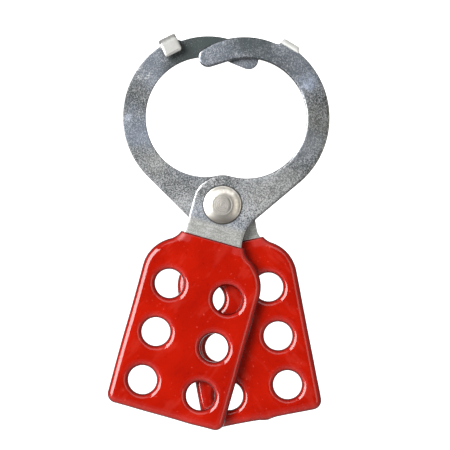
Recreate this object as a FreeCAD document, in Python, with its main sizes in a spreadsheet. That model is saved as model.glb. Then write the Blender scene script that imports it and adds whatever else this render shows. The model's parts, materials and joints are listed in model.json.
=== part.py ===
import FreeCAD, Part
import math
import os

import Sketcher

# A scissor lockout hasp: two identical sheet-steel jaws on one rivet, each with a dipped vinyl handle.
# Row frame: +Z up along the mid-line, +Y away from the viewer, origin at the centre of the closed jaw
# circle, on the parting plane between the two plates. Each jaw is drawn closed, with its pivot at the
# origin and its outer face towards -Y, and its Placement opens it about the rivet.

DRIVING_SIZES = {
    # the blank's sheet and how the two plates pass each other
    "plate_thickness": 2.0,
    "running_gap": 0.1,
    "handle_offset": 1.0,
    "offset_top": 7.4,
    "offset_bottom": 10.2,
    # jaw ring
    "jaw_diameter": 38.1,
    "pivot_to_jaw": 28.5,
    "ring_radius": 26.9,
    "ring_shift": 0.55,
    "tip_radius": 24.6,
    "tip_shift": 1.0,
    "tip_rise": 29.5,
    "tip_tangent_angle": 33.0,
    "tip_round": 3.1,
    "jaw_arm_angle": 55.6,
    # neck and handle
    "neck_half_width": 9.0,
    "neck_bottom": 9.6,
    "arm_fillet": 10.0,
    "neck_fillet": 6.6,
    "shoulder_radius": 10.8,
    "handle_half_width": 18.45,
    "handle_bottom": 68.9,
    "corner_radius": 2.2,
    # padlock holes, in two columns and three rows
    "hole_half_pitch": 9.54,
    "hole_row_pitch": 15.85,
    "first_hole_row": 28.55,
    "hole_radius": 4.5,
    "hole_rounding": 1.0,
    # vinyl coating
    "coat_thickness": 0.8,
    "front_coat_top": 11.45,
    "rear_coat_top": 12.4,
    "coat_rounding": 1.4,
    # folded guide tab
    "tab_angle": 15.5,
    "tab_width": 5.8,
    "tab_outer": 28.2,
    "tab_wall": 1.9,
    "tab_end": 22.5,
    "tab_gap": 0.25,
    "tab_bend": 1.8,
    # rivet
    "shank_radius": 3.5,
    "bore_clearance": 0.06,
    "head_radius": 6.1,
    "head_edge": 0.45,
    "head_height": 1.5,
    "disc_radius": 3.65,
    "head_gap": 0.05,
    # each jaw's turn from closed, in degrees
    "jaw_turn": 13.25,
}
# Which point of a sketch element a constraint means, and how close counts as the same place, in mm.
START, END, CENTRE = 1, 2, 3
NEAR = 0.001
HOLE_COLUMNS = (-1, 1)
HOLE_ROWS = (0, 1, 2)
UP = FreeCAD.Vector(0, 0, 1)
# Where a body's origin planes look: from the front, from the right side and from above.
FRONT = "XZ_Plane"
SIDE = "YZ_Plane"
ABOVE = "XY_Plane"
# Each plate's outer face and inner face in the jaw, as depths in front of the parting plane.
JAW_FACE = "(Sizes.running_gap / 2)"
JAW_BACK = "(Sizes.running_gap / 2 + Sizes.plate_thickness)"
HANDLE_MIDDLE = "(Sizes.running_gap / 2 + Sizes.handle_offset + Sizes.plate_thickness / 2)"
# How far the folded flange's outer face stands behind the parting plane.
TAB_REACH = f"({JAW_BACK} + Sizes.tab_gap + Sizes.plate_thickness)"
# The strip that each jaw is blanked from is a little larger than the blank.
STRIP_TOP = "(Sizes.tip_rise + Sizes.ring_radius + 5)"
STRIP_BOTTOM = "(-Sizes.handle_bottom - 5)"
STRIP_HALF_WIDTH = "(Sizes.ring_radius + 10)"
STEEL_HOLE_RADIUS = "Sizes.hole_radius + Sizes.coat_thickness"


def make_sizes(doc):
    """The spreadsheet of driving dimensions, one labelled cell each."""
    sheet = doc.addObject("Spreadsheet::Sheet", "Sizes")
    for row, (alias, value) in enumerate(DRIVING_SIZES.items(), start=1):
        sheet.set(f"A{row}", alias)
        sheet.set(f"B{row}", str(value))
        sheet.setAlias(f"B{row}", alias)
    doc.recompute()
    return sheet


def make_body(doc, label):
    body = doc.addObject("PartDesign::Body", label)
    body.Label = label
    return body


def make_sketch(body, name, plane):
    """A sketch on one of the body's own origin planes."""
    sketch = body.newObject("Sketcher::SketchObject", name)
    planes = {feature.Role: feature for feature in body.Origin.OriginFeatures}
    sketch.AttachmentSupport = (planes[plane], [""])
    sketch.MapMode = "FlatFace"
    return sketch


def add_feature(body, kind, name, sketch, length=None, **settings):
    """A Pad, Pocket or Revolution of a sketch, its length bound to an expression."""
    feature = body.newObject(f"PartDesign::{kind}", name)
    feature.Profile = sketch
    for setting, value in settings.items():
        setattr(feature, setting, value)
    if length:
        feature.setExpression("Length", f"({length}) * 1 mm")
    return feature


def bind(sketch, size, kind, *parts):
    """Adds a dimension whose value is an expression of the sheet's cells."""
    value = sketch.evalExpression(size)
    datum, unit = (math.radians(value), "deg") if kind == "Angle" else (value, "mm")
    number = sketch.addConstraint(Sketcher.Constraint(kind, *parts, datum))
    sketch.setExpression(f"Constraints[{number}]", f"({size}) * 1 {unit}")


def place_point(sketch, geometry, point, across, up):
    """Places a point by its signed distances from the sketch's origin."""
    bind(sketch, across, "DistanceX", -1, 1, geometry, point)
    bind(sketch, up, "DistanceY", -1, 1, geometry, point)


def add_circle(sketch, across, up, radius):
    centre = FreeCAD.Vector(sketch.evalExpression(across), sketch.evalExpression(up), 0)
    circle = Part.Circle(centre, UP, sketch.evalExpression(radius))
    index = sketch.addGeometry(circle, False)
    place_point(sketch, index, CENTRE, across, up)
    bind(sketch, radius, "Radius", index)


class Loop:
    """A closed chain of lines and arcs in a sketch. The coordinates given are a first guess: the joins
    and the bound dimensions set the shape."""

    def __init__(self, sketch):
        self.sketch = sketch
        self.links = []

    def line(self, start, end, join="Tangent"):
        points = [FreeCAD.Vector(x, y, 0) for x, y in (start, end)]
        index = self.sketch.addGeometry(Part.LineSegment(*points), False)
        self.links.append((index, START, END, join))
        return index

    def arc(self, centre, radius, start, end, join="Tangent"):
        """An arc between two angles in degrees, clockwise where end is below start."""
        low, high = sorted((math.radians(start), math.radians(end)))
        circle = Part.Circle(FreeCAD.Vector(*centre, 0), UP, radius)
        index = self.sketch.addGeometry(Part.ArcOfCircle(circle, low, high), False)
        first, last = (START, END) if end > start else (END, START)
        self.links.append((index, first, last, join))
        return index

    def close(self):
        """Joins each link's first end to the last end of the link before it."""
        for before, link in zip(self.links[-1:] + self.links, self.links):
            ends = (before[0], before[2], link[0], link[1])
            self.sketch.addConstraint(Sketcher.Constraint(link[3], *ends))


def draw_polygon(sketch, corners):
    """Straight sides between corners whose places are pairs of expressions."""
    guesses = [tuple(sketch.evalExpression(size) for size in corner) for corner in corners]
    loop = Loop(sketch)
    ends = zip(guesses, guesses[1:] + guesses[:1])
    sides = [loop.line(start, end, "Coincident") for start, end in ends]
    loop.close()
    for side, corner in zip(sides, corners):
        place_point(sketch, side, START, *corner)


def draw_box(sketch, left, bottom, right, top):
    draw_polygon(sketch, [(left, bottom), (right, bottom), (right, top), (left, top)])


def draw_handle(sketch, spare, draw_top):
    """A closed outline whose lower part is the handle, standing spare outside the steel. draw_top adds
    the links above the neck and returns how its two ends meet the neck's arcs."""
    loop = Loop(sketch)
    foot = loop.line((-16.4, -69.4), (16.4, -69.4))
    right_corner = loop.arc((16.4, -67.2), 2.2, -90, 0)
    right_edge = loop.line((18.6, -67.2), (18.6, -25.4))
    right_shoulder = loop.arc((7.8, -25.4), 10.8, 0, 63)
    right_neck = loop.arc((15.6, -9.6), 6.6, 243, 190)
    join = draw_top(loop)
    left_neck = loop.arc((-15.6, -9.6), 6.6, -10, -63, join)
    left_shoulder = loop.arc((-7.8, -25.4), 10.8, 117, 180)
    left_edge = loop.line((-18.6, -25.4), (-18.6, -67.2))
    left_corner = loop.arc((-16.4, -67.2), 2.2, 180, 270)
    loop.close()
    sketch.addConstraint(Sketcher.Constraint("Horizontal", foot))
    bind(sketch, f"-(Sizes.handle_bottom + {spare})", "DistanceY", -1, 1, foot, START)
    for side, edge, neck in ((1, right_edge, right_neck), (-1, left_edge, left_neck)):
        sketch.addConstraint(Sketcher.Constraint("Vertical", edge))
        half_width = f"{side} * (Sizes.handle_half_width + {spare})"
        bind(sketch, half_width, "DistanceX", -1, 1, edge, START)
        neck_centre = f"{side} * (Sizes.neck_half_width + Sizes.neck_fillet)"
        place_point(sketch, neck, CENTRE, neck_centre, "-Sizes.neck_bottom")
        bind(sketch, f"Sizes.neck_fillet - {spare}", "Radius", neck)
    for shoulder in (right_shoulder, left_shoulder):
        bind(sketch, f"Sizes.shoulder_radius + {spare}", "Radius", shoulder)
    for corner in (right_corner, left_corner):
        bind(sketch, f"Sizes.corner_radius + {spare}", "Radius", corner)


def draw_jaw(loop):
    """The jaw's links, anticlockwise from the right of the neck: up the arm and round the ring to the
    tip, back along the inside of the jaw, round the rivet's eye and down the left of the neck."""
    sketch = loop.sketch
    neck = loop.line((9, -9.6), (9, -9))
    fillet = loop.arc((19, -9), 10, 180, 145.6)
    arm = loop.line((10.75, -3.35), (21.7, 13.2))
    ring = loop.arc((-0.55, 28.5), 27, -34.4, 79.8)
    step = loop.line((4.2, 55.1), (3.9, 53.9), "Coincident")
    tip = loop.arc((-1, 31.6), 22.85, 77.6, 141.8, "Coincident")
    nose = loop.arc((-16.4, 44.1), 3.1, 141.8, 303)
    loop.line((-14.7, 41.5), (-10.4, 44.5))
    jaw = loop.arc((0, 28.5), 19.05, 123, -90)
    eye = loop.arc((0, 0), 9.45, 90, 183.5)
    loop.line((-9.4, -0.6), (-9, -9.6))
    sketch.addConstraint(Sketcher.Constraint("Vertical", neck))
    bind(sketch, "Sizes.arm_fillet", "Radius", fillet)
    bind(sketch, "Sizes.jaw_arm_angle", "Angle", arm)
    bind(sketch, "Sizes.ring_radius", "Radius", ring)
    place_point(sketch, ring, CENTRE, "-Sizes.ring_shift", "Sizes.pivot_to_jaw")
    bind(sketch, "Sizes.tip_radius", "Radius", tip)
    place_point(sketch, tip, CENTRE, "-Sizes.tip_shift", "Sizes.tip_rise")
    bind(sketch, "Sizes.tip_round", "Radius", nose)
    bind(sketch, "Sizes.jaw_diameter / 2", "Radius", jaw)
    place_point(sketch, jaw, CENTRE, "0", "Sizes.pivot_to_jaw")
    tangent_place = "-Sizes.jaw_diameter / 2 * sin(Sizes.tip_tangent_angle * 1 deg)"
    bind(sketch, tangent_place, "DistanceX", -1, 1, jaw, END)
    place_point(sketch, eye, CENTRE, "0", "0")
    # The step between the two outer arcs lies under the tab's left edge, in line with the tab.
    bind(sketch, "-90 - Sizes.tab_angle", "Angle", step)
    bind(sketch, "Sizes.tab_width / 2", "Distance", jaw, CENTRE, step)
    return "Tangent"


def dip_line(depth):
    """A draw_top for the vinyl, whose top edge is straight across the neck at a depth below the pivot."""

    def draw_top(loop):
        top = loop.line((9.8, -11.45), (-9.8, -11.45), "Coincident")
        loop.sketch.addConstraint(Sketcher.Constraint("Horizontal", top))
        bind(loop.sketch, f"-{depth}", "DistanceY", -1, 1, top, START)
        return "Coincident"

    return draw_top


def draw_padlock_holes(sketch, radius):
    for column in HOLE_COLUMNS:
        for row in HOLE_ROWS:
            depth = f"-(Sizes.first_hole_row + {row} * Sizes.hole_row_pitch)"
            add_circle(sketch, f"{column} * Sizes.hole_half_pitch", depth, radius)


def draw_strip_side(sketch):
    """The bent strip edge on: the jaw's flat, the small joggle, and the handle's flat a little further
    from the other jaw, so that the two coated handles clear each other."""
    handle_face = f"-{JAW_FACE} - Sizes.handle_offset"
    handle_back = f"-{JAW_BACK} - Sizes.handle_offset"
    corners = [
        (f"-{JAW_FACE}", STRIP_TOP),
        (f"-{JAW_BACK}", STRIP_TOP),
        (f"-{JAW_BACK}", "-Sizes.offset_top"),
        (handle_back, "-Sizes.offset_bottom"),
        (handle_back, STRIP_BOTTOM),
        (handle_face, STRIP_BOTTOM),
        (handle_face, "-Sizes.offset_bottom"),
        (f"-{JAW_FACE}", "-Sizes.offset_top"),
    ]
    draw_polygon(sketch, corners)


def make_tab_sketch(body, name, low, high, depth):
    """A rectangle in line with the tab, between two distances from the jaw's centre, at a depth in
    front of the parting plane."""
    sketch = make_sketch(body, name, FRONT)
    sketch.AttachmentOffset = FreeCAD.Placement(FreeCAD.Vector(), FreeCAD.Rotation(UP, 1))
    sketch.setExpression("AttachmentOffset.Base.y", "Sizes.pivot_to_jaw * 1 mm")
    sketch.setExpression("AttachmentOffset.Base.z", f"{depth} * 1 mm")
    sketch.setExpression("AttachmentOffset.Rotation.Angle", "-Sizes.tab_angle * 1 deg")
    draw_box(sketch, "-Sizes.tab_width / 2", low, "Sizes.tab_width / 2", high)
    return sketch


def round_edges(body, name, radius, chosen):
    """A fillet on those edges of the body's last feature that pass a test."""
    body.Document.recompute()
    base = body.Tip
    edges = [f"Edge{n}" for n, edge in enumerate(base.Shape.Edges, start=1) if chosen(edge)]
    fillet = body.newObject("PartDesign::Fillet", name)
    fillet.Base = (base, edges)
    fillet.setExpression("Radius", f"{radius} * 1 mm")


def round_tab(body):
    """Rounds the outside of the tab's two bends."""
    value = body.Tip.evalExpression
    angle = math.radians(value("Sizes.tab_angle"))
    outward = FreeCAD.Vector(math.sin(angle), 0, math.cos(angle))
    centre = FreeCAD.Vector(0, 0, value("Sizes.pivot_to_jaw"))
    faces = (value(f"-{JAW_BACK}"), value(TAB_REACH))

    def on_bend(edge):
        near_face = min(abs(edge.CenterOfMass.y - face) for face in faces) < NEAR
        distance = (edge.CenterOfMass - centre).dot(outward)
        return near_face and abs(distance - value("Sizes.tab_outer")) < NEAR

    round_edges(body, "TabBends", "Sizes.tab_bend", on_bend)


def make_plate(doc, label, bore_radius):
    """One jaw: a joggled strip blanked to its outline, pierced, with its guide tab folded over."""
    body = make_body(doc, label)
    strip = make_sketch(body, "StripSide", SIDE)
    draw_strip_side(strip)
    add_feature(body, "Pad", "Strip", strip, f"2 * {STRIP_HALF_WIDTH}", SideType="Symmetric")
    blank = make_sketch(body, "BlankOutline", FRONT)
    draw_handle(blank, "0", draw_jaw)
    past = (f"-{STRIP_HALF_WIDTH} - 1", f"{STRIP_BOTTOM} - 1", f"{STRIP_HALF_WIDTH} + 1", f"{STRIP_TOP} + 1")
    draw_box(blank, *past)
    add_feature(body, "Pocket", "Blanking", blank, Type="ThroughAll", Reversed=True)
    holes = make_sketch(body, "Holes", FRONT)
    draw_padlock_holes(holes, STEEL_HOLE_RADIUS)
    add_circle(holes, "0", "0", bore_radius)
    add_feature(body, "Pocket", "Piercing", holes, Type="ThroughAll", Reversed=True)
    tab_inner = "Sizes.tab_outer - Sizes.tab_wall"
    wall = make_tab_sketch(body, "TabWallOutline", tab_inner, "Sizes.tab_outer", JAW_BACK)
    add_feature(body, "Pad", "TabWall", wall, f"{JAW_BACK} + {TAB_REACH}", Reversed=True)
    flange = make_tab_sketch(body, "TabFlangeOutline", "Sizes.tab_end", "Sizes.tab_outer", f"-{TAB_REACH}")
    add_feature(body, "Pad", "TabFlange", flange, "Sizes.plate_thickness")
    round_tab(body)
    return body


def make_coat(doc, label, depth):
    """One dipped handle: a skin of even thickness over the steel, lining its holes."""
    body = make_body(doc, label)
    skin = make_sketch(body, "SkinOutline", FRONT)
    skin.setExpression("AttachmentOffset.Base.z", f"{HANDLE_MIDDLE} * 1 mm")
    draw_handle(skin, "Sizes.coat_thickness", dip_line(depth))
    draw_padlock_holes(skin, "Sizes.hole_radius")
    thickness = "Sizes.plate_thickness + 2 * Sizes.coat_thickness"
    add_feature(body, "Pad", "Skin", skin, thickness, SideType="Symmetric")
    doc.recompute()
    box = body.Shape.BoundBox
    hole_radius = skin.evalExpression("Sizes.hole_radius")

    def on_face(edge):
        return edge.BoundBox.YLength < NEAR and edge.BoundBox.ZMin < box.ZMax - NEAR

    def on_hole(edge):
        return on_face(edge) and edge.Closed and abs(edge.Curve.Radius - hole_radius) < NEAR

    def on_outline(edge):
        return on_face(edge) and not edge.Closed and edge.BoundBox.YMin in (box.YMin, box.YMax)

    round_edges(body, "HoleRims", "Sizes.hole_rounding", on_hole)
    round_edges(body, "OuterEdges", "Sizes.coat_rounding", on_outline)
    steel = make_sketch(body, "SteelOutline", FRONT)
    steel.setExpression("AttachmentOffset.Base.z", f"{HANDLE_MIDDLE} * 1 mm")
    draw_handle(steel, "0", dip_line(depth))
    draw_padlock_holes(steel, STEEL_HOLE_RADIUS)
    add_feature(body, "Pocket", "SteelRoom", steel, "Sizes.plate_thickness", SideType="Symmetric")
    return body


def make_rivet(doc, label):
    """The rivet: a plain shank, a domed rear head, and a front head spun over to a flat disc."""
    body = make_body(doc, label)
    profile = make_sketch(body, "Profile", ABOVE)
    front = f"-({JAW_BACK} + Sizes.head_gap)"
    back = JAW_BACK
    loop = Loop(profile)
    disc = loop.line((0, -3.6), (3.6, -3.6), "Coincident")
    front_dome = loop.arc((3.6, -0.2), 3.4, -90, -44)
    front_rim = loop.line((6.1, -2.6), (6.1, -2.1), "Coincident")
    front_seat = loop.line((6.1, -2.1), (3.5, -2.1), "Coincident")
    shank = loop.line((3.5, -2.1), (3.5, 2), "Coincident")
    back_seat = loop.line((3.5, 2), (6.1, 2), "Coincident")
    back_rim = loop.line((6.1, 2), (6.1, 2.5), "Coincident")
    back_dome = loop.arc((0, -14.7), 18.2, 70, 90, "Coincident")
    loop.line((0, 3.5), (0, -3.6), "Coincident")
    loop.close()
    place_point(profile, disc, START, "0", f"{front} - Sizes.head_height")
    place_point(profile, disc, END, "Sizes.disc_radius", f"{front} - Sizes.head_height")
    place_point(profile, front_rim, START, "Sizes.head_radius", f"{front} - Sizes.head_edge")
    place_point(profile, front_seat, START, "Sizes.head_radius", front)
    place_point(profile, shank, START, "Sizes.shank_radius", front)
    place_point(profile, back_seat, START, "Sizes.shank_radius", back)
    place_point(profile, back_rim, START, "Sizes.head_radius", back)
    place_point(profile, back_rim, END, "Sizes.head_radius", f"{back} + Sizes.head_edge")
    place_point(profile, back_dome, END, "0", f"{back} + Sizes.head_height")
    profile.addConstraint(Sketcher.Constraint("PointOnObject", back_dome, CENTRE, -2))
    turned = add_feature(body, "Revolution", "Turned", profile)
    turned.ReferenceAxis = (profile, ["V_Axis"])
    turned.Angle = 360
    return body


def place(bodies, turn, yaw):
    """Opens a jaw's bodies by their turn about the rivet, first turning them round the vertical."""
    sizes = bodies[0].Document.Sizes
    pivot = FreeCAD.Vector(0, 0, -sizes.pivot_to_jaw)
    opened = FreeCAD.Rotation(FreeCAD.Vector(0, 1, 0), turn)
    for body in bodies:
        body.Placement = FreeCAD.Placement(pivot, opened * FreeCAD.Rotation(UP, yaw))


def export(doc, bodies):
    """Checks every object and shape, then writes each body to parts/LABEL.step."""
    for thing in doc.Objects:
        if {"Invalid", "Error"} & set(thing.State):
            raise RuntimeError(f"{thing.Label} failed: {thing.State}")
    os.makedirs("parts", exist_ok=True)
    for body in bodies:
        shape = body.Shape
        if shape.isNull() or not shape.isValid() or len(shape.Solids) != 1:
            raise RuntimeError(f"{body.Label} is not one valid solid")
        shape.exportStep(f"parts/{body.Label}.step")
        print(f"{body.Label}: {shape.Volume:.1f} mm3, {len(shape.Faces)} faces")


def main():
    doc = FreeCAD.newDocument("lockout_hasp")
    sizes = make_sizes(doc)
    front_plate = make_plate(doc, "front_jaw_plate", "Sizes.shank_radius + Sizes.bore_clearance")
    front_coat = make_coat(doc, "front_handle_coating", "Sizes.front_coat_top")
    rear_plate = make_plate(doc, "rear_jaw_plate", "Sizes.shank_radius")
    rear_coat = make_coat(doc, "rear_handle_coating", "Sizes.rear_coat_top")
    rivet = make_rivet(doc, "pivot_rivet")
    place([front_plate, front_coat], sizes.jaw_turn, 0)
    place([rear_plate, rear_coat], -sizes.jaw_turn, 180)
    place([rivet], 0, 0)
    doc.recompute()
    export(doc, [front_plate, front_coat, rear_plate, rear_coat, rivet])


main()
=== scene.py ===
import bmesh
import bpy
import json
import math
from mathutils import Matrix, Vector, noise


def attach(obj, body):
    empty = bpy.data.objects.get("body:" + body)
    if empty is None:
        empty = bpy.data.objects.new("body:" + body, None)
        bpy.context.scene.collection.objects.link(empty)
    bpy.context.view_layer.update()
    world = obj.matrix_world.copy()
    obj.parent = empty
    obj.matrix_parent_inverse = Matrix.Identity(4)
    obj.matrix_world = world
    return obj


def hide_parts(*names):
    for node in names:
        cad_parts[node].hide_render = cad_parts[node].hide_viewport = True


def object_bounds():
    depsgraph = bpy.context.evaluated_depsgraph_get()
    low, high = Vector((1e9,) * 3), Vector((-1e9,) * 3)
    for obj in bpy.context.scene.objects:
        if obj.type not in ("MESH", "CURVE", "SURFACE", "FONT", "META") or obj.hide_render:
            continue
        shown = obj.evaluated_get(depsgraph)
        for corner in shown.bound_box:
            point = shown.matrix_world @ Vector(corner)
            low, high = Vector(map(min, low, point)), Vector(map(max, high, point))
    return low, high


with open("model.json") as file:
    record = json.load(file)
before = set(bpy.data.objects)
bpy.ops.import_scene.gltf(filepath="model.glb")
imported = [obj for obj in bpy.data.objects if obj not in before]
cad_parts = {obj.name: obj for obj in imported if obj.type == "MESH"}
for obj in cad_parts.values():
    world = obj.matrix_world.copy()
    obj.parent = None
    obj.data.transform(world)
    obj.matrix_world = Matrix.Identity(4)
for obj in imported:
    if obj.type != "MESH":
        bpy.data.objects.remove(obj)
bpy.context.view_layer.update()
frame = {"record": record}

# ---------------------------------------------------------------------------------------------------
# The two jaw plates.
# One stamping of 2 mm sheet steel, used twice: blanked and pierced, joggled at the neck, its guide tab
# folded over, then zinc plated. The rear one is the same piece turned round the vertical.

MM = 0.001
JAW = frame["record"]["behaviour"]["joints"][0]
PIVOT = Vector(JAW["pos_m"])
# The joint's lower limit closes the hasp, and each jaw is drawn closed, with its pivot at the origin.
JAW_TURN = -math.radians(JAW["range_deg"][0]) / 2
PLACES = {
    "front": Matrix.Translation(PIVOT) @ Matrix.Rotation(JAW_TURN, 4, "Y"),
    "rear": Matrix.Translation(PIVOT) @ Matrix.Rotation(-JAW_TURN, 4, "Y")
    @ Matrix.Rotation(math.pi, 4, "Z"),
}

PLATE = 2.0 * MM
PLATE_FACE = -0.05 * MM
PLATE_BACK = PLATE_FACE - PLATE
JAW_CENTRE = Vector((0, 0, 28.5)) * MM
JAW_RADIUS = 19.05 * MM
RING_CENTRE = Vector((-0.55, 0, 28.5)) * MM
RING_RADIUS = 26.9 * MM
TIP_CENTRE = Vector((-1.0, 0, 29.5)) * MM
TIP_RADIUS = 24.6 * MM
TIP_ROUND = 3.1 * MM
TIP_TANGENT = math.radians(123)
ARM_NORMAL = math.radians(-34.4)
ARM_FILLET = 10.0 * MM
EYE_RADIUS = JAW_CENTRE.z - JAW_RADIUS
NECK_HALF = 9.3 * MM
NECK_FILLET = 6.6 * MM
NECK_Z = -9.6 * MM
SHOULDER = 10.8 * MM
HANDLE_HALF = 18.45 * MM
HANDLE_FOOT = -68.9 * MM
CORNER = 2.2 * MM
HOLE_SPOTS = [(side * 9.54 * MM, -(28.55 + 15.85 * row) * MM) for side in (-1, 1) for row in range(3)]
HOLE_RADIUS = 4.5 * MM
BORE_RADIUS = 3.56 * MM
HEAD_RADIUS = 6.1 * MM
VINYL = 0.8 * MM
TAB_ANGLE = math.radians(90 - 15.5)
TAB_HALF = 2.9 * MM
TAB_ROOTS = {1: 0.8 * MM, -1: 1.9 * MM}
TAB_CORNERS = {1: 0.6 * MM, -1: 0.9 * MM}
TAB_START = 25.95 * MM
TAB_BEND = 1.25 * MM
TAB_WALL = 1.85 * MM
TAB_FLANGE = 3.75 * MM
TAB_TURN = math.pi / 2 * TAB_BEND
TAB_END = TAB_START + 2 * TAB_TURN + TAB_WALL + TAB_FLANGE
TAB_MARGIN = 0.3 * MM
TAB_SIDE_MARGIN = 0.5 * MM
BEND_STEPS = 8
DIE_ROLL = 1.0 * MM
DIE_DROP = 0.32 * MM
BREAK = 0.14 * MM
JOGGLE = 1.0 * MM
JOGGLE_TOP = -5.6 * MM
JOGGLE_DEPTH = 6.4 * MM
JOGGLE_STEPS = 16
JOGGLE_REACH = 20 * MM


def toward(angle, length=1.0):
    """A vector in the XZ plane, its angle counted from +X towards +Z."""
    return Vector((math.cos(angle), 0, math.sin(angle))) * length


def angle_of(vector):
    """A vector's angle in the XZ plane, counted in the same way."""
    return math.atan2(vector.z, vector.x)


class Pen:
    """Traces a closed outline in the XZ plane: straight by extruding its last point, round by spinning
    it about a centre."""

    def __init__(self, bm):
        self.bm = bm
        self.first = self.last = None

    def to(self, point, pieces=1):
        if self.last is None:
            self.first = self.last = self.bm.verts.new(point)
            return
        start = self.last.co.copy()
        if (point - start).length < 0.001 * MM:
            return
        for piece in range(1, pieces + 1):
            self.last = bmesh.ops.extrude_vert_indiv(self.bm, verts=[self.last])["verts"][0]
            self.last.co = start.lerp(point, piece / pieces)

    def arc(self, centre, radius, start, end, pieces=1, step=4):
        """A straight run to the arc's start, then the arc, clockwise where end is below start."""
        self.to(centre + toward(start, radius), pieces)
        steps = max(3, round(abs(end - start) / math.radians(step)))
        turned = bmesh.ops.spin(
            self.bm, geom=[self.last], cent=centre, axis=(0, -1, 0), angle=end - start, steps=steps
        )
        self.last = next(part for part in turned["geom_last"] if isinstance(part, bmesh.types.BMVert))

    def close(self, pieces=1):
        if pieces > 1:
            end = self.last.co.lerp(self.first.co, (pieces - 1) / pieces)
            self.to(end, pieces - 1)
        self.bm.edges.new((self.last, self.first))


# Where the handle's shoulder arcs meet the neck's: both radii change alike, so their centres stay put.
NECK_CENTRE = Vector((NECK_HALF + NECK_FILLET, 0, NECK_Z))
SHOULDER_X = HANDLE_HALF - SHOULDER
SHOULDER_DROP = math.sqrt((SHOULDER + NECK_FILLET) ** 2 - (NECK_CENTRE.x - SHOULDER_X) ** 2)
SHOULDER_CENTRE = Vector((SHOULDER_X, 0, NECK_Z - SHOULDER_DROP))
SHOULDER_END = angle_of(NECK_CENTRE - SHOULDER_CENTRE)
CORNER_CENTRE = Vector((HANDLE_HALF - CORNER, 0, HANDLE_FOOT + CORNER))
LEAST_CORNER = 0.3 * MM
STRAIGHT_PIECES = 24
MIRROR = Vector((-1, 1, 1))


def trace_right_side(pen, spare, neck_end):
    """The handle's right side, upwards, standing spare outside the steel."""
    corner = max(CORNER + spare, LEAST_CORNER)
    pen.arc(CORNER_CENTRE, corner, -math.pi / 2, 0, STRAIGHT_PIECES, 9)
    pen.arc(SHOULDER_CENTRE, SHOULDER + spare, 0, SHOULDER_END, STRAIGHT_PIECES)
    pen.arc(NECK_CENTRE, NECK_FILLET - spare, SHOULDER_END + math.pi, neck_end)


def trace_left_side(pen, spare, neck_start, pieces):
    """The handle's left side, downwards, then along the foot to where the outline began."""
    across = math.pi - SHOULDER_END
    corner = max(CORNER + spare, LEAST_CORNER)
    pen.arc(NECK_CENTRE * MIRROR, NECK_FILLET - spare, neck_start, across - math.pi, pieces)
    pen.arc(SHOULDER_CENTRE * MIRROR, SHOULDER + spare, across, math.pi)
    pen.arc(CORNER_CENTRE * MIRROR, corner, math.pi, 1.5 * math.pi, STRAIGHT_PIECES, 9)
    pen.close(STRAIGHT_PIECES)


def tab_root(side, centre, radius):
    """The centre of the small fillet between the tab's side and an outer arc of the ring."""
    out, across = toward(TAB_ANGLE), toward(TAB_ANGLE - math.pi / 2)
    fillet = TAB_ROOTS[side]
    foot = JAW_CENTRE + across * side * (TAB_HALF + fillet) - centre
    along = foot.dot(out)
    reach = -along + math.sqrt(along * along - foot.length_squared + (radius + fillet) ** 2)
    return centre + foot + out * reach


def trace_jaw(bm, inset):
    """The whole blank, anticlockwise from the handle's foot, with the tab still flat."""
    pen = Pen(bm)
    trace_right_side(pen, -inset, math.pi)
    arm = toward(ARM_NORMAL)
    fillet_x = NECK_HALF + ARM_FILLET
    fillet_z = (RING_CENTRE.dot(arm) + RING_RADIUS + ARM_FILLET - arm.x * fillet_x) / arm.z
    fillet_centre = Vector((fillet_x, 0, fillet_z))
    pen.arc(fillet_centre, ARM_FILLET + inset, math.pi, ARM_NORMAL + math.pi)
    right_root = tab_root(1, RING_CENTRE, RING_RADIUS)
    ring_end = angle_of(right_root - RING_CENTRE)
    pen.arc(RING_CENTRE, RING_RADIUS - inset, ARM_NORMAL, ring_end, 1, 2)
    pen.arc(right_root, TAB_ROOTS[1] + inset, ring_end + math.pi, TAB_ANGLE + math.pi / 2, 1, 15)
    for side, corner in TAB_CORNERS.items():
        out = toward(TAB_ANGLE, TAB_END - corner)
        centre = JAW_CENTRE + out + toward(TAB_ANGLE - side * math.pi / 2, TAB_HALF - corner)
        start = TAB_ANGLE - max(0, side) * math.pi / 2
        pen.arc(centre, max(corner - inset, 0.05 * MM), start, start + math.pi / 2, 1, 15)
    left_root = tab_root(-1, TIP_CENTRE, TIP_RADIUS)
    tip_start = angle_of(left_root - TIP_CENTRE)
    pen.arc(left_root, TAB_ROOTS[-1] + inset, TAB_ANGLE - math.pi / 2, tip_start - math.pi, 1, 15)
    inner = toward(TIP_TANGENT)
    along = toward(TIP_TANGENT + math.pi / 2)
    foot = JAW_CENTRE + inner * (JAW_RADIUS + TIP_ROUND) - TIP_CENTRE
    run = foot.dot(along)
    reach = -run + math.sqrt(run * run - foot.length_squared + (TIP_RADIUS - TIP_ROUND) ** 2)
    nose = TIP_CENTRE + foot + along * reach
    nose_start = angle_of(nose - TIP_CENTRE)
    pen.arc(TIP_CENTRE, TIP_RADIUS - inset, tip_start, nose_start, 1, 2)
    pen.arc(nose, TIP_ROUND - inset, nose_start, TIP_TANGENT + math.pi, 1, 9)
    pen.arc(JAW_CENTRE, JAW_RADIUS + inset, TIP_TANGENT, -math.pi / 2, 1, 2)
    neck = NECK_CENTRE * MIRROR
    waist = angle_of(neck) % (2 * math.pi) - math.acos((EYE_RADIUS + NECK_FILLET) / neck.length)
    pen.arc(Vector(), EYE_RADIUS - inset, math.pi / 2, waist)
    trace_left_side(pen, -inset, waist - math.pi, 1)


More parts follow.
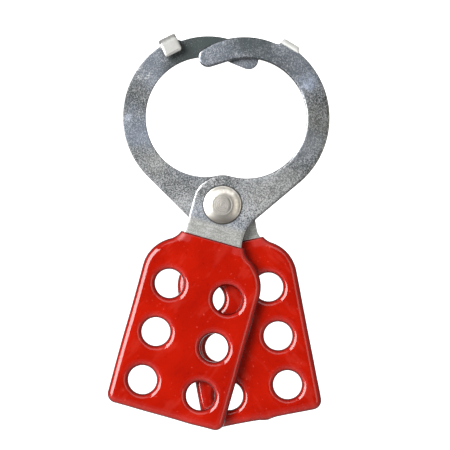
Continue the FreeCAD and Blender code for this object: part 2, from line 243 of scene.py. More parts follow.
def rounding(reach, height, flat, away, steps, supports=()):
    """Profile steps from a side wall over an elliptical round to a flat face, as pairs of inset and
    depth. away is the sign of the way from the flat face into the piece."""
    points = []
    for step in range(steps + 1):
        turn = math.pi / 2 * (1 - step / steps)
        points.append((reach * (1 - math.sin(turn)), flat + away * height * (1 - math.cos(turn))))
    return points + [(reach + extra, flat) for extra in supports]


def add_part(bm, part):
    """Moves a small bmesh into the one of the whole piece."""
    mesh = bpy.data.meshes.new("part")
    part.to_mesh(mesh)
    part.free()
    bm.from_mesh(mesh)
    bpy.data.meshes.remove(mesh)


def build_rim(bm, trace, profile):
    """The rounded wall round an outline. The profile holds pairs of inset and depth, from the back face
    round the edge to the front face, and trace draws the outline at an inset."""
    wall = bmesh.new()
    loops = []
    for inset, depth in profile:
        outline = bmesh.new()
        trace(outline, inset)
        known = set(wall.edges)
        add_part(wall, outline)
        loops.append([edge for edge in wall.edges if edge not in known])
        # Loops in one plane can be joined crossed, so each is joined at a level of its own.
        for vert in {vert for edge in loops[-1] for vert in edge.verts}:
            vert.co.y = len(loops) * MM
    for lower, upper in zip(loops, loops[1:]):
        bmesh.ops.bridge_loops(wall, edges=lower + upper)
    for loop, (inset, depth) in zip(loops, profile):
        for vert in {vert for edge in loop for vert in edge.verts}:
            vert.co.y = depth
    add_part(bm, wall)


def turn_hole(bm, spot, radius, profile):
    """The rounded wall of a round hole, turned about the hole's axis."""
    wall = bmesh.new()
    points = [wall.verts.new((spot[0] + radius + inset, depth, spot[1])) for inset, depth in profile]
    edges = [wall.edges.new(pair) for pair in zip(points, points[1:])]
    bmesh.ops.spin(
        wall, geom=points + edges, cent=(spot[0], 0, spot[1]), axis=(0, -1, 0),
        angle=2 * math.pi, steps=64, use_merge=True,
    )
    add_part(bm, wall)


def cap_slab(bm):
    """Closes the two open faces of a slab and points every face outwards."""
    rims = [edge for edge in bm.edges if edge.is_boundary]
    middle = sum(edge.verts[0].co.y for edge in rims) / len(rims)
    for side in (-1, 1):
        edges = [edge for edge in rims if side * (edge.verts[0].co.y - middle) > 0]
        bmesh.ops.triangle_fill(bm, edges=edges, use_beauty=True, normal=(0, -1, 0))
    bmesh.ops.recalc_face_normals(bm, faces=bm.faces)
    for face in bm.faces:
        face.smooth = True


def cut_across(bm, chosen, point, normal):
    """Cuts the faces that have a corner in the chosen region along a plane."""
    faces = {face for vert in bm.verts if chosen(vert.co) for face in vert.link_faces}
    parts = set(faces)
    for face in faces:
        parts.update(face.edges, face.verts)
    bmesh.ops.bisect_plane(bm, geom=list(parts), dist=1e-7, plane_co=point, plane_no=normal)


def tab_place(point):
    """A point's distance out along the tab from the jaw's centre, and its distance across it."""
    arm = point - JAW_CENTRE
    return arm.dot(toward(TAB_ANGLE)), arm.dot(toward(TAB_ANGLE - math.pi / 2))


def on_tab(point):
    """Whether a point is on the tab, or within a little of its root."""
    if point.z < JAW_CENTRE.z + TAB_START / 2:
        return False
    out, across = tab_place(point)
    return out > TAB_START - TAB_MARGIN - 0.01 * MM and abs(across) < TAB_HALF + TAB_SIDE_MARGIN


def cut_bends(bm):
    """Cuts the flat blank across wherever it is going to bend: at the tab's two folds and at the neck."""
    cuts = [TAB_TURN * step / BEND_STEPS for step in range(BEND_STEPS + 1)]
    cuts += [TAB_TURN + TAB_WALL + cut for cut in cuts]
    for cut in cuts + [-TAB_MARGIN]:
        cut_across(bm, on_tab, JAW_CENTRE + toward(TAB_ANGLE, TAB_START + cut), toward(TAB_ANGLE))
    for step in range(JOGGLE_STEPS + 1):
        level = JOGGLE_TOP - JOGGLE_DEPTH * step / JOGGLE_STEPS
        cut_across(bm, lambda point: abs(point.x) < JOGGLE_REACH, (0, 0, level), (0, 0, 1))


def fold_tab(bm):
    """Folds the flat tab twice through a right angle, so that it reaches over the other jaw."""
    middle = (PLATE_FACE + PLATE_BACK) / 2
    for vert in bm.verts:
        out, across = tab_place(vert.co)
        run = out - TAB_START
        if run <= 0 or not on_tab(vert.co):
            continue
        first = min(run, TAB_TURN)
        wall = min(max(run - TAB_TURN, 0), TAB_WALL)
        second = min(max(run - TAB_TURN - TAB_WALL, 0), TAB_TURN)
        flange = max(run - 2 * TAB_TURN - TAB_WALL, 0)
        turn = (first + second) / TAB_BEND
        height = vert.co.y - middle
        along = TAB_START + (TAB_BEND - height) * math.sin(turn) - flange
        rise = TAB_BEND + wall - (TAB_BEND - height) * math.cos(turn)
        vert.co = JAW_CENTRE + toward(TAB_ANGLE, along) + toward(TAB_ANGLE - math.pi / 2, across)
        vert.co.y = middle + rise


def joggle_neck(bm):
    """Sets the handle back from the jaw by a smooth step across the neck."""
    for vert in bm.verts:
        share = min(max((JOGGLE_TOP - vert.co.z) / JOGGLE_DEPTH, 0), 1)
        vert.co.y -= JOGGLE * share * share * (3 - 2 * share)


def finish_piece(name, bm, place, material, body, node):
    """Turns a bmesh into a piece that rides on a body and stands for a CAD node."""
    bmesh.ops.transform(bm, matrix=place, verts=bm.verts)
    mesh = bpy.data.meshes.new(name)
    bm.to_mesh(mesh)
    bm.free()
    piece = bpy.data.objects.new(name, mesh)
    bpy.context.scene.collection.objects.link(piece)
    mesh.materials.append(material)
    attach(piece, body)
    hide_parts(node)
    return piece


class Shade:
    """A number or colour flowing through a material: arithmetic on it adds Math nodes."""

    def __init__(self, tree, socket):
        self.tree = tree
        self.socket = socket

    def node(self, kind, settings=(), inputs=(), output=0):
        """Adds a node, makes its settings, then fills or links its sockets."""
        made = self.tree.nodes.new(kind)
        for name, value in dict(settings).items():
            setattr(made, name, value)
        for name, value in dict(inputs).items():
            if isinstance(value, Shade):
                self.tree.links.new(value.socket, made.inputs[name])
            else:
                made.inputs[name].default_value = value
        return Shade(self.tree, made.outputs[output])

    def maths(self, operation, *values):
        settings = {"operation": operation}
        return self.node("ShaderNodeMath", settings, enumerate(values))

    def __add__(self, other):
        return self.maths("ADD", self, other)

    def __sub__(self, other):
        return self.maths("SUBTRACT", self, other)

    def __rsub__(self, other):
        return self.maths("SUBTRACT", other, self)

    def __mul__(self, other):
        return self.maths("MULTIPLY", self, other)

    __radd__ = __add__
    __rmul__ = __mul__

    def between(self, low, high):
        """0 below low, 1 above high, smooth between them."""
        inputs = {"Value": self, "From Min": low, "From Max": high}
        return self.node("ShaderNodeMapRange", {"interpolation_type": "SMOOTHSTEP"}, inputs)

    def mix(self, first, second):
        """The first colour where this is 0, and the second where it is 1."""
        inputs = {0: self, 6: first, 7: second}
        return self.node("ShaderNodeMix", {"data_type": "RGBA"}, inputs, 2)

    def noise(self, scale, detail=2.0, roughness=0.5):
        inputs = {"Vector": self, "Scale": scale, "Detail": detail, "Roughness": roughness}
        return self.node("ShaderNodeTexNoise", (), inputs)

    def moved(self, place, stretch=(1, 1, 1)):
        """These coordinates in a piece's own frame, stretched by a factor along each of its axes."""
        back = place.inverted()
        turn = self.node("ShaderNodeMapping", (), {
            "Vector": self, "Location": back.to_translation(), "Rotation": back.to_euler()
        })
        return self.node("ShaderNodeMapping", (), {"Vector": turn, "Scale": stretch})

    def attribute(self, name):
        return self.node("ShaderNodeAttribute", {"attribute_name": name}, (), 2)

    def distance(self, point):
        """How far these coordinates are from a point."""
        return self.node("ShaderNodeVectorMath", {"operation": "DISTANCE"}, {0: self, 1: point}, 1)

    def bump(self, strength, distance):
        return self.node("ShaderNodeBump", (), {"Height": self, "Strength": strength, "Distance": distance})


def new_material(name, look):
    """A material whose look is a function of its shader and its object coordinates."""
    material = bpy.data.materials.new(name)
    material.use_nodes = True
    tree = material.node_tree
    shader = tree.nodes["Principled BSDF"]
    start = Shade(tree, None)
    place = start.node("ShaderNodeTexCoord", (), (), "Object")
    for name, value in look(place).items():
        if isinstance(value, Shade):
            tree.links.new(value.socket, shader.inputs[name])
        else:
            shader.inputs[name].default_value = value
    return material


ZINC_DARK = (0.055, 0.060, 0.062, 1)
ZINC_LIGHT = (0.47, 0.48, 0.49, 1)
ZINC_BLUE = (0.36, 0.42, 0.54, 1)
ZINC_TIP_SHADE = (0.050, 0.068, 0.058, 1)
ZINC_WARM = (0.30, 0.30, 0.27, 1)
ZINC_PALE = (0.53, 0.53, 0.51, 1)
ZINC_BRIGHT = (0.74, 0.74, 0.72, 1)
ZINC_EDGE_SHADE = (0.13, 0.13, 0.13, 1)
ZINC_BLOOM_AND_REFLECTION = (0.66, 0.70, 0.82, 1)
ZINC_HEAD_SHADOW = (0.03, 0.03, 0.028, 1)
# The tab's burnished colour for each jaw, partly painted light: the front jaw's tab faces up, gets less
# light, and is painted much lighter.
RUBBED_AND_LIT = {"front": (0.76, 0.76, 0.73, 1), "rear": (0.45, 0.445, 0.425, 1)}
# Marks on each plate in its own frame: their place in mm, radius in mm, strength and colour.
MARKS = {
    "front": [
        ((23, 30), 12, 0.30, ZINC_WARM), ((15, 9), 14, 0.35, ZINC_PALE),
        # A painted reflection of the rear plate's flange, which lies just above this spot: a bluish patch
        # and a paler core.
        ((16.2, 44.6), 4.4, 0.9, ZINC_BLUE),
        ((15.2, 43.2), 2.6, 1.4, ZINC_BLOOM_AND_REFLECTION),
    ],
    "rear": [
        ((23, 29), 9, 0.28, ZINC_BLUE), ((18, 18), 6, 0.25, ZINC_PALE),
        ((24.5, 33), 1.7, 0.4, ZINC_BLOOM_AND_REFLECTION),
    ],
}
# Painted shade towards each plate's tip, standing in for the other plate's shadow there: its place, radius
# and strength, in the same way.
TIP_SHADE = {"front": ((-4, 53), 11, 0.8), "rear": ((-3, 51), 15, 1.2)}
# Small round dings, their place and radius in mm.
DINGS = {"front": ((-5.9, 51.2), 1.5), "rear": ((16.9, 46.0), 2.0)}
HEAD_SHADOW_RADIUS = 6.6 * MM
# The plates are drawn darker upwards from the pivot, fully from this height.
DARKER_ABOVE_HEIGHT = 26 * MM
# It is drawn bright below this level of the neck, and rubbed bright on the tab past a short fade.
RUB_FADE = 0.2 * MM
DRAWN_TOP = -5.5 * MM
DRAWN_FADE = 1.5 * MM
DRAWN_HALF = 12 * MM


def zinc_look(jaw):
    """Barrel-plated zinc: a fine grey mottle, cloudy blue patches, small pale dings, a brighter drawn band
    across the neck, smooth edges and the tab burnished bright, darker upwards from the pivot. Painted shade
    darkens each tip, rings the rivet head and lines the steep edges; a painted reflection lies under the
    rear plate's flange on the front plate, and the tab's colour is partly painted light."""

    def look(place):
        own = place.moved(PLACES[jaw])
        grain = own.noise(2300, 3, 0.75)
        fleck = own.noise(4200, 1, 0.5)
        cloud = own.noise(160, 3, 0.65)
        wide = own.noise(45, 1, 0.5)
        upper = own.node("ShaderNodeSeparateXYZ", (), {0: own}, 2).between(0, DARKER_ABOVE_HEIGHT)
        # Painted shade towards the tip: it darkens the tone, takes out some blue and tints it greenish.
        (x, z), radius, strength = TIP_SHADE[jaw]
        distance = own.distance((x * MM, PLATE_FACE, z * MM)) + (cloud - 0.5) * radius * MM
        tip_shade = distance.between(radius * MM, 0.3 * radius * MM) * strength
        tone = grain * 0.66 + fleck * 0.26 + cloud * 0.20 - 0.06 - 0.045 * upper - 0.075 * tip_shade
        tone = tone.between(0.39, 0.62)
        colour = tone.mix(ZINC_DARK, ZINC_LIGHT)
        colour = (wide.between(0.45, 0.62) * (0.22 - 0.12 * tip_shade)).mix(colour, ZINC_BLUE)
        colour = (upper * 0.2).mix(colour, ZINC_DARK)
        colour = (tip_shade * 0.35).mix(colour, ZINC_TIP_SHADE)
        for (x, z), radius, strength, shade in MARKS[jaw]:
            distance = own.distance((x * MM, PLATE_FACE, z * MM)) + (cloud - 0.5) * radius * MM * 2
            mark = distance.between(radius * MM, 0.35 * radius * MM) * (0.45 + 0.9 * tone)
            colour = (mark * strength).mix(colour, shade)
        (x, z), radius = DINGS[jaw]
        distance = own.distance((x * MM, PLATE_FACE, z * MM)) + (grain - 0.5) * 1.2 * MM
        ding = (distance - radius * MM).maths("ABSOLUTE", distance - radius * MM)
        ding = ding.between(0.40 * MM, 0.1 * MM) * cloud.between(0.48, 0.58) * grain.between(0.42, 0.56)
        colour = (ding * 0.5).mix(colour, ZINC_BRIGHT)
        streak = own.moved(Matrix(), (0.10, 1, 1)).noise(1700, 2, 0.6)
        rubbed_and_shade = place.attribute("rubbed_and_shade")
        drawn = place.attribute("drawn")
        edge = place.attribute("edge")
        polished = edge.between(0, 0.12)
        band = (streak * 0.7 + tone * 0.3).between(0.32, 0.80).mix(ZINC_WARM, ZINC_PALE)
        colour = (drawn * 0.75).mix(colour, band)
        colour = (rubbed_and_shade * (0.8 + 0.2 * fleck)).mix(colour, RUBBED_AND_LIT[jaw])
        # Painted shadow: a dark ring on the plate round the rivet head.
        head_shadow = own.distance((0, PLATE_BACK, 0)).between(HEAD_SHADOW_RADIUS, HEAD_RADIUS - 0.1 * MM)
        colour = (head_shadow * 0.9).mix(colour, ZINC_HEAD_SHADOW)
        # Painted shade along the steep parts of the edges, less on the tab.
        colour = (edge.between(0.15, 0.85) * (1 - 0.4 * rubbed_and_shade)).mix(colour, ZINC_EDGE_SHADE)
        height = grain * 0.6 + fleck * 0.4 + streak * drawn * 0.8
        return {
            "Base Color": colour,
            "Metallic": 1.0 - 0.7 * rubbed_and_shade,
            "Roughness": 0.44 + 0.16 * grain - 0.10 * rubbed_and_shade - 0.32 * polished,
            "Normal": (height * (1 - 0.8 * rubbed_and_shade) * (1 - 0.9 * polished)).bump(0.6, 0.00010),
        }

    return look


# A wall counts as upright where its normal's share across the sheet is small, and is marked less there.
UPRIGHT_FROM = 0.40
UPRIGHT_FADE = 0.25
UPRIGHT_LOSS = 0.8


def paint_walls(bm, steep, flat):
    """Marks the steeper part of the rounds, where the materials paint shade along the edges: 1 where the
    surface is steep, 0 on the flats, and falling back again on the walls themselves, which keep the piece's
    plain colour."""
    walls = bm.verts.layers.float.new("edge")
    bm.normal_update()
    for vert in bm.verts:
        slope = abs(vert.normal.y)
        upright = min(max((UPRIGHT_FROM - slope) / UPRIGHT_FADE, 0), 1)
        steepness = min(max((flat - slope) / (flat - steep), 0), 1)
        vert[walls] = steepness * (1 - UPRIGHT_LOSS * upright)


def paint_wear(bm):
    """Marks where the tab is burnished bright, a little less round its second bend as painted shade, and
    where the neck was drawn, for the plating to read."""
    rubbed_and_shade = bm.verts.layers.float.new("rubbed_and_shade")
    drawn = bm.verts.layers.float.new("drawn")
    for vert in bm.verts:
        if on_tab(vert.co):
            run = tab_place(vert.co)[0] - TAB_START
            round_bend = (run - TAB_TURN - TAB_WALL) / TAB_TURN
            # Painted shade: the mark is lowered round the second bend.
            shade = 0.35 * math.exp(-((2 * round_bend - 1) ** 2))
            vert[rubbed_and_shade] = min(max(run / RUB_FADE, 0), 1) * (1 - shade)
        if abs(vert.co.x) < DRAWN_HALF:
            vert[drawn] = min(max((DRAWN_TOP - vert.co.z) / DRAWN_FADE, 0), 1)


def build_plate(jaw):
    """Blanks and pierces one plate, cuts it for bending, paints its wear, then folds and joggles it."""
    bm = bmesh.new()
    rim = rounding(BREAK, BREAK, PLATE_FACE, -1, 2, (0.25 * MM,))[::-1]
    rim += rounding(DIE_ROLL, DIE_DROP, PLATE_BACK, 1, 8, (0.2 * MM,))
    build_rim(bm, trace_jaw, rim)
    turn_hole(bm, (0, 0), BORE_RADIUS, rim)
    for spot in HOLE_SPOTS:
        turn_hole(bm, spot, HOLE_RADIUS + VINYL, rim)
    cap_slab(bm)
    paint_walls(bm, 0.75, 0.99)
    cut_bends(bm)
    paint_wear(bm)
    fold_tab(bm)
    joggle_neck(bm)
    material = new_material(f"zinc_plate_{jaw}", zinc_look(jaw))
    node = f"{jaw}_jaw_plate"
    finish_piece(f"{jaw}_plate", bm, PLACES[jaw], material, f"{jaw}_jaw", node)


for jaw in PLACES:
    build_plate(jaw)

# ---------------------------------------------------------------------------------------------------
# The two handle coatings.
# Each handle is dipped in red liquid vinyl and baked: a glossy even skin with full round rims that
# lines the padlock holes, a straight dip line, and a small drip left at the foot.

HANDLE_MIDDLE = PLATE_FACE - JOGGLE - PLATE / 2
SKIN_HALF = PLATE / 2 + VINYL
EDGE_REACH = 2.6 * MM
RIM_REACH = 2.25 * MM
SKIN_ROUND = 1.75 * MM
RIM_ROUND = 1.75 * MM
DIP_REACH = 0.8 * MM
DIP_LINES = {"front": -11.45 * MM, "rear": -12.4 * MM}
# The drip at each foot: its place across, how far it hangs and its half width.
DRIPS = {"front": (9.0 * MM, 0.12 * MM, 3.0 * MM), "rear": (-1.0 * MM, 0.5 * MM, 1.8 * MM)}
DRIP_HEIGHT = 2.5 * MM
SWAY = 0.12 * MM
LIP_HEIGHT = 1.6 * MM
LIP_SWELL = 0.08 * MM
VINYL_RED = (0.320, 0.0050, 0.0006, 1)
VINYL_BRIGHT = (0.385, 0.0068, 0.0009, 1)
VINYL_SPECK = (0.75, 0.10, 0.07, 1)
VINYL_PIT = (0.16, 0.002, 0.002, 1)
VINYL_SMEAR = (0.60, 0.07, 0.045, 1)
VINYL_DEEP = (0.22, 0.003, 0.001, 1)
VINYL_EDGE_SHADE = (0.045, 0.0010, 0.0012, 1)


def trace_handle(dip_line, spare, round_share):
    """The coated handle's outline. round_share scales the side's inset to the dip line's smaller one."""

    def trace(bm, inset):
        pen = Pen(bm)
        out = spare - inset
        top = dip_line - inset * round_share
        neck_end = math.asin((NECK_Z - top) / (NECK_FILLET - out))
        trace_right_side(pen, out, math.pi + neck_end)
        trace_left_side(pen, out, -neck_end, 16)

    return trace


def shape_dip(bm, jaw):
    """Lets the baked vinyl go a little uneven: a drip at the foot, a wandering edge, a fuller lip along
    the dip line."""
    drip_x, drip_size, drip_width = DRIPS[jaw]
    for vert in bm.verts:
        near_foot = max(0, 1 - (vert.co.z - HANDLE_FOOT) / DRIP_HEIGHT)
        drip = drip_size * math.exp(-(((vert.co.x - drip_x) / drip_width) ** 2))
        vert.co.z -= min(near_foot, 1) * drip
        sway = noise.noise_vector(vert.co * 90 + Vector((0, 7 if jaw == "front" else 31, 0)))
        vert.co += Vector((sway.x, 0, sway.z)) * SWAY
        lip = math.exp(-(((vert.co.z - DIP_LINES[jaw]) / LIP_HEIGHT) ** 2))
        side = (vert.co.y - HANDLE_MIDDLE) / SKIN_HALF
        fuller = math.copysign(abs(side) ** (1 - 0.25 * lip), side)
        vert.co.y = HANDLE_MIDDLE + (SKIN_HALF + LIP_SWELL * lip) * fuller


def vinyl_look(jaw):
    """Glossy red plastisol: nearly even colour with faint darker clouds, smears, fine specks and pits,
    painted shade deepening it round its edges, and a little dull at the corners of the dip line."""

    def look(place):
        own = place.moved(PLACES[jaw])
        cloud = own.noise(70, 2, 0.5)
        speck = own.noise(1100, 1, 0.5)
        smear = own.moved(Matrix.Rotation(0.5, 4, "Y"), (1, 1, 0.3)).noise(230, 3, 0.6)
        wave = own.noise(150, 1, 0.4)
        edge = place.attribute("edge")
        apart = own.node("ShaderNodeSeparateXYZ", (), {0: own})
        across, up = (Shade(own.tree, apart.socket.node.outputs[axis]) for axis in (0, 2))
        dull = up.between(DIP_LINES[jaw] - 4.0 * MM, DIP_LINES[jaw] - 2.0 * MM)
        dull = dull * across.maths("ABSOLUTE", across).between(5.0 * MM, 8.0 * MM)
        colour = cloud.between(0.35, 0.65).mix(VINYL_RED, VINYL_BRIGHT)
        colour = (speck.between(0.70, 0.80) * 0.35).mix(colour, VINYL_SPECK)
        colour = (speck.between(0.34, 0.24) * 0.40).mix(colour, VINYL_PIT)
        colour = (smear.between(0.53, 0.64) * 0.11).mix(colour, VINYL_SMEAR)
        colour = (smear.between(0.42, 0.30) * 0.25).mix(colour, VINYL_DEEP)
        # Painted shade round the edges.
        colour = (edge * 0.92).mix(colour, VINYL_EDGE_SHADE)
        return {
            "Base Color": colour,
            "Roughness": 0.05 + 0.08 * smear.between(0.5, 0.75) + 0.10 * edge + 0.35 * dull,
            "Normal": (wave + speck * 0.02).bump(0.3, 0.0003),
        }

    return look


def build_cavity(jaw):
    """The hollow that the steel fills, as a slab a hair larger than the steel and turned inside out. Its
    top stops just under the dip line, where the vinyl closes round the neck."""
    spare = 0.01 * MM
    walls = [(0, HANDLE_MIDDLE + PLATE / 2 + spare), (0, HANDLE_MIDDLE - PLATE / 2 - spare)]
    hollow = bmesh.new()
    build_rim(hollow, trace_handle(DIP_LINES[jaw] - 0.3 * MM, spare, 0), walls)
    for spot in HOLE_SPOTS:
        turn_hole(hollow, spot, HOLE_RADIUS + VINYL - spare, walls)
    cap_slab(hollow)
    bmesh.ops.reverse_faces(hollow, faces=hollow.faces)
    return hollow


def build_coating(jaw):
    """Dips one handle: a rounded slab with full rims round its holes, hollow where the steel is."""
    front = HANDLE_MIDDLE - SKIN_HALF
    back = HANDLE_MIDDLE + SKIN_HALF
    supports = (0.03 * MM,)
    side = rounding(EDGE_REACH, SKIN_ROUND, back, -1, 12, supports)[::-1]
    side += rounding(EDGE_REACH, SKIN_ROUND, front, 1, 12, supports)
    rim = rounding(RIM_REACH, RIM_ROUND, back, -1, 10, supports)[::-1]
    rim += rounding(RIM_REACH, RIM_ROUND, front, 1, 10, supports)
    bm = bmesh.new()
    build_rim(bm, trace_handle(DIP_LINES[jaw], VINYL, DIP_REACH / EDGE_REACH), side)
    for spot in HOLE_SPOTS:
        turn_hole(bm, spot, HOLE_RADIUS, rim)
    cap_slab(bm)
    paint_walls(bm, 0.50, 0.85)
    add_part(bm, build_cavity(jaw))
    shape_dip(bm, jaw)
    material = new_material(f"red_vinyl_{jaw}", vinyl_look(jaw))
    node = f"{jaw}_handle_coating"
    finish_piece(f"{jaw}_coating", bm, PLACES[jaw], material, f"{jaw}_jaw", node)


for jaw in PLACES:
    build_coating(jaw)

# ---------------------------------------------------------------------------------------------------
# The pivot rivet.
# A turned steel rivet, its rear head domed in the making and its front head spun over by a forming
# tool, which leaves a bright round shoulder and a flatter disc with fine rings.

HEAD_GAP = 0.05 * MM
HEAD_HEIGHT = 1.5 * MM
SHANK_RADIUS = 3.5 * MM
DISC_RADIUS = 3.4 * MM
RING_PITCH = 0.62 * MM
RING_DEPTH = 0.012 * MM
SLOPE_END = 5.75 * MM
SLOPE_START_ANGLE = 11
SLOPE_ADDED_ANGLE = 20
EDGE_BREAK = 0.06 * MM
DOME_EDGE = 0.35 * MM
CRESCENT_RADIUS = 2.9 * MM
RIVET_LIGHT = (0.74, 0.71, 0.65, 1)
RIVET_WARM = (0.56, 0.53, 0.48, 1)
RIVET_RING = (0.30, 0.29, 0.28, 1)
RIVET_LOWER_SHADE = (0.17, 0.15, 0.13, 1)
RIVET_CRESCENT_SHADE = (0.20, 0.19, 0.18, 1)
RIVET_EDGE_SHADE = (0.08, 0.07, 0.06, 1)


def rivet_profile():
    """Half of the rivet's section, from the front disc's middle round to the rear dome's middle."""
    under = PLATE_BACK - HEAD_GAP
    points = []
    height = HEAD_HEIGHT
    for step in range(49):
        radius = DISC_RADIUS * step / 48
        ring = RING_DEPTH * math.cos(radius / RING_PITCH * 2 * math.pi)
        dish = 0.05 * MM * (radius / DISC_RADIUS) ** 2
        points.append((radius, under - height + dish - ring))
    height = under - points[-1][1]
    steps = 16
    for step in range(1, steps + 1):
        share = step / steps
        slope = math.tan(math.radians(SLOPE_START_ANGLE + SLOPE_ADDED_ANGLE * share))
        height -= (SLOPE_END - DISC_RADIUS) / steps * slope
        points.append((DISC_RADIUS + (SLOPE_END - DISC_RADIUS) * share, under - height))
    edge = HEAD_RADIUS - SLOPE_END
    for step in range(1, 7):
        turn = math.pi / 2 * step / 6
        points.append((SLOPE_END + edge * math.sin(turn), under - height + edge * (1 - math.cos(turn))))
    points += [(HEAD_RADIUS, under - EDGE_BREAK), (HEAD_RADIUS - EDGE_BREAK, under)]
    points += [(SHANK_RADIUS, under), (SHANK_RADIUS, -PLATE_BACK)]
    points += [(HEAD_RADIUS - EDGE_BREAK, -PLATE_BACK), (HEAD_RADIUS, -PLATE_BACK + EDGE_BREAK)]
    for step in range(19):
        turn = math.pi / 2 * step / 18
        rise = DOME_EDGE + (HEAD_HEIGHT - DOME_EDGE) * math.sin(turn)
        points.append((HEAD_RADIUS * math.cos(turn) ** 0.8, -PLATE_BACK + rise))
    return points


def rivet_look(place):
    """Bright rolled steel: warm grey with some grime and rings left by the tool, and painted shade in a
    crescent beside the disc, over its lower part and round its edge."""
    own = place.moved(Matrix.Translation(PIVOT))
    apart = own.node("ShaderNodeSeparateXYZ", (), {0: own})
    across, up = (Shade(own.tree, apart.socket.node.outputs[axis]) for axis in (0, 2))
    square = across * across + up * up
    radius = square.maths("SQRT", square)
    turn = radius * (2 * math.pi / RING_PITCH)
    rings = turn.maths("COSINE", turn)
    grime = own.noise(900, 3, 0.65)
    disc = radius.between(DISC_RADIUS + 0.3 * MM, DISC_RADIUS - 0.3 * MM)
    colour = grime.between(0.35, 0.70).mix(RIVET_LIGHT, RIVET_WARM)
    colour = (disc * (0.25 - 0.20 * rings * grime.between(0.3, 0.6))).mix(colour, RIVET_RING)
    # Painted shade over the lower part of the head.
    foot = (up + (grime - 0.5) * 1.5 * MM).between(-2.9 * MM, -5.3 * MM)
    colour = (foot * 0.75).mix(colour, RIVET_LOWER_SHADE)
    # Painted shade in a crescent on the right of the disc.
    apart = own.distance((-0.5 * MM, PLATE_BACK - HEAD_HEIGHT, 0)) + (grime - 0.5) * 0.6 * MM
    apart = apart - CRESCENT_RADIUS
    crescent_shade = apart.maths("ABSOLUTE", apart).between(0.45 * MM, 0.1 * MM)
    colour = (crescent_shade * across.between(0.8 * MM, 2.0 * MM) * 0.7).mix(colour, RIVET_CRESCENT_SHADE)
    # Painted shadow in a dark ring round the head's edge.
    edge = radius.between(HEAD_RADIUS - 0.26 * MM, HEAD_RADIUS - 0.06 * MM)
    colour = (edge * 0.8).mix(colour, RIVET_EDGE_SHADE)
    return {
        "Base Color": colour,
        "Metallic": 1.0,
        "Roughness": 0.24 + 0.16 * grime + 0.06 * disc,
        "Normal": grime.bump(0.4, 0.00006),
    }


bm = bmesh.new()
points = [bm.verts.new((radius, depth, 0)) for radius, depth in rivet_profile()]
edges = [bm.edges.new(pair) for pair in zip(points, points[1:])]
bmesh.ops.spin(
    bm, geom=points + edges, cent=(0, 0, 0), axis=(0, 1, 0), angle=2 * math.pi, steps=96, use_merge=True
)
bmesh.ops.remove_doubles(bm, verts=bm.verts, dist=1e-6)
bmesh.ops.recalc_face_normals(bm, faces=bm.faces)
for face in bm.faces:
    face.smooth = True
material = new_material("rivet_steel", rivet_look)
finish_piece("rivet", bm, Matrix.Translation(PIVOT), material, "rear_jaw", "pivot_rivet")

# ---------------------------------------------------------------------------------------------------
# The set.
# A white sweep behind and below the hasp, a large soft box in front at the left, a faint warm panel at
# the right and a wide one above, and a grey room that is darkest behind the camera.

low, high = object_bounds()
FLOOR_Z = low.z - 0.40
SWEEP_HALF = 2.4
SWEEP_FRONT = -3.4
SWEEP_BACK = 0.75
SWEEP_BEND = 0.45
SWEEP_TOP = 1.6


def sweep_look(place):
    """White paper that glows behind the hasp, most of all in the middle."""
    paper = place.noise(40, 3, 0.5)
    shade = paper.mix((0.50, 0.50, 0.50, 1), (0.54, 0.54, 0.54, 1))
    behind = place.node("ShaderNodeSeparateXYZ", (), {0: place}, 1).between(0.10, 0.60)
    middle = place.distance((0, SWEEP_BACK, 0)).between(0.9, 0.35)
    glow = (behind * (0.35 + 0.65 * middle)).mix((0.08, 0.08, 0.08, 1), (1, 1, 1, 1))
    return {"Base Color": shade, "Roughness": 0.9, "Emission Color": glow, "Emission Strength": 1.0}


bm = bmesh.new()
start = bm.verts.new((-SWEEP_HALF, SWEEP_FRONT, FLOOR_Z))
corner = bm.verts.new((-SWEEP_HALF, SWEEP_BACK - SWEEP_BEND, FLOOR_Z))
bm.edges.new((start, corner))
bend = bmesh.ops.spin(
    bm, geom=[corner], cent=(0, SWEEP_BACK - SWEEP_BEND, FLOOR_Z + SWEEP_BEND), axis=(1, 0, 0),
    angle=math.pi / 2, steps=24,
)
top = next(part for part in bend["geom_last"] if isinstance(part, bmesh.types.BMVert))
top = bmesh.ops.extrude_vert_indiv(bm, verts=[top])["verts"][0]
top.co.z = SWEEP_TOP
swept = bmesh.ops.extrude_edge_only(bm, edges=bm.edges[:])
made = [part for part in swept["geom"] if isinstance(part, bmesh.types.BMVert)]
bmesh.ops.translate(bm, verts=made, vec=(2 * SWEEP_HALF, 0, 0))
for face in bm.faces:
    face.smooth = True
mesh = bpy.data.meshes.new("sweep")
bm.to_mesh(mesh)
bm.free()
sweep = bpy.data.objects.new("sweep", mesh)
bpy.context.scene.collection.objects.link(sweep)
mesh.materials.append(new_material("sweep_paper", sweep_look))


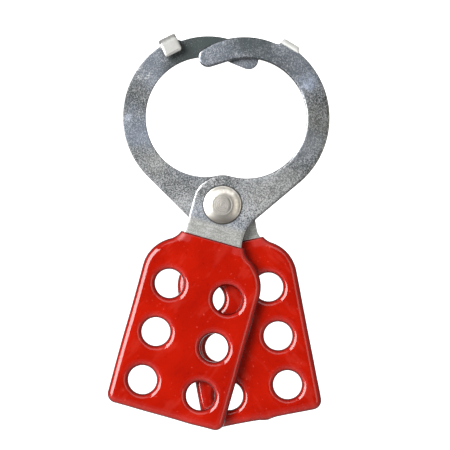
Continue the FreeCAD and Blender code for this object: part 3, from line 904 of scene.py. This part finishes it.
def add_panel(name, across, up, size, turn, radiance, colour=(1, 1, 1)):
    """An upright light panel facing the hasp squarely, its middle given in panel distances sideways and
    upwards, and its size in panel distances."""
    light = bpy.data.lights.new(name, "AREA")
    light.shape = "RECTANGLE"
    light.size, light.size_y = (side * PANEL_DISTANCE for side in size)
    light.energy = radiance * math.pi * light.size * light.size_y
    light.color = colour
    lamp = bpy.data.objects.new(name, light)
    bpy.context.scene.collection.objects.link(lamp)
    middle = Vector((across, -1, up)) * PANEL_DISTANCE + Vector((0, 0, (low.z + high.z) / 2))
    face = Matrix.Rotation(turn, 4, "Y") @ Matrix.Rotation(math.pi / 2, 4, "X")
    lamp.matrix_world = Matrix.Translation(middle) @ face


PANEL_DISTANCE = 0.85
add_panel("left_softbox", -1.06, 0.21, (1.07, 1.2), math.radians(45), 12)
add_panel("right_panel", 0.85, 0.0, (0.5, 1.0), 0, 1.65, (1.0, 0.95, 0.85))
add_panel("top_panel", 0.25, 0.95, (1.5, 0.75), 0, 1.7)

ROOM_DARK = (0.05, 0.05, 0.05, 1)
ROOM_PALE = (0.23, 0.23, 0.23, 1)
world = bpy.data.worlds.new("room")
world.use_nodes = True
room = Shade(world.node_tree, None)
toward_room = room.node("ShaderNodeTexCoord", (), (), "Generated")
ways = {0: toward_room, 1: (0, -1, 0)}
frontness = room.node("ShaderNodeVectorMath", {"operation": "DOT_PRODUCT"}, ways, 1)
backdrop = frontness.between(0.80, 0.95).mix(ROOM_PALE, ROOM_DARK)
world.node_tree.links.new(backdrop.socket, world.node_tree.nodes["Background"].inputs["Color"])
bpy.context.scene.world = world
bpy.context.scene.view_settings.view_transform = "Standard"

# The camera stands 0.6 m in front, square to the plates, with a long lens and a slight roll.
CAMERA_ROLL = math.radians(2.35)
CAMERA_ACROSS = 1.06 * MM
CAMERA_UP = -6.36 * MM
FIELD_WIDTH = 0.1433
DISTANCE = 0.600
camera_data = bpy.data.cameras.new("camera")
camera_data.sensor_width = 36
camera_data.lens = 36 * DISTANCE / FIELD_WIDTH
camera = bpy.data.objects.new("camera", camera_data)
bpy.context.scene.collection.objects.link(camera)
right = Vector((math.cos(CAMERA_ROLL), 0, math.sin(CAMERA_ROLL)))
up = Vector((-math.sin(CAMERA_ROLL), 0, math.cos(CAMERA_ROLL)))
view = Matrix((right, up, (0, -1, 0))).transposed().to_4x4()
view.translation = PIVOT + Vector((CAMERA_ACROSS, -DISTANCE, CAMERA_UP))
camera.matrix_world = view
bpy.context.scene.camera = camera
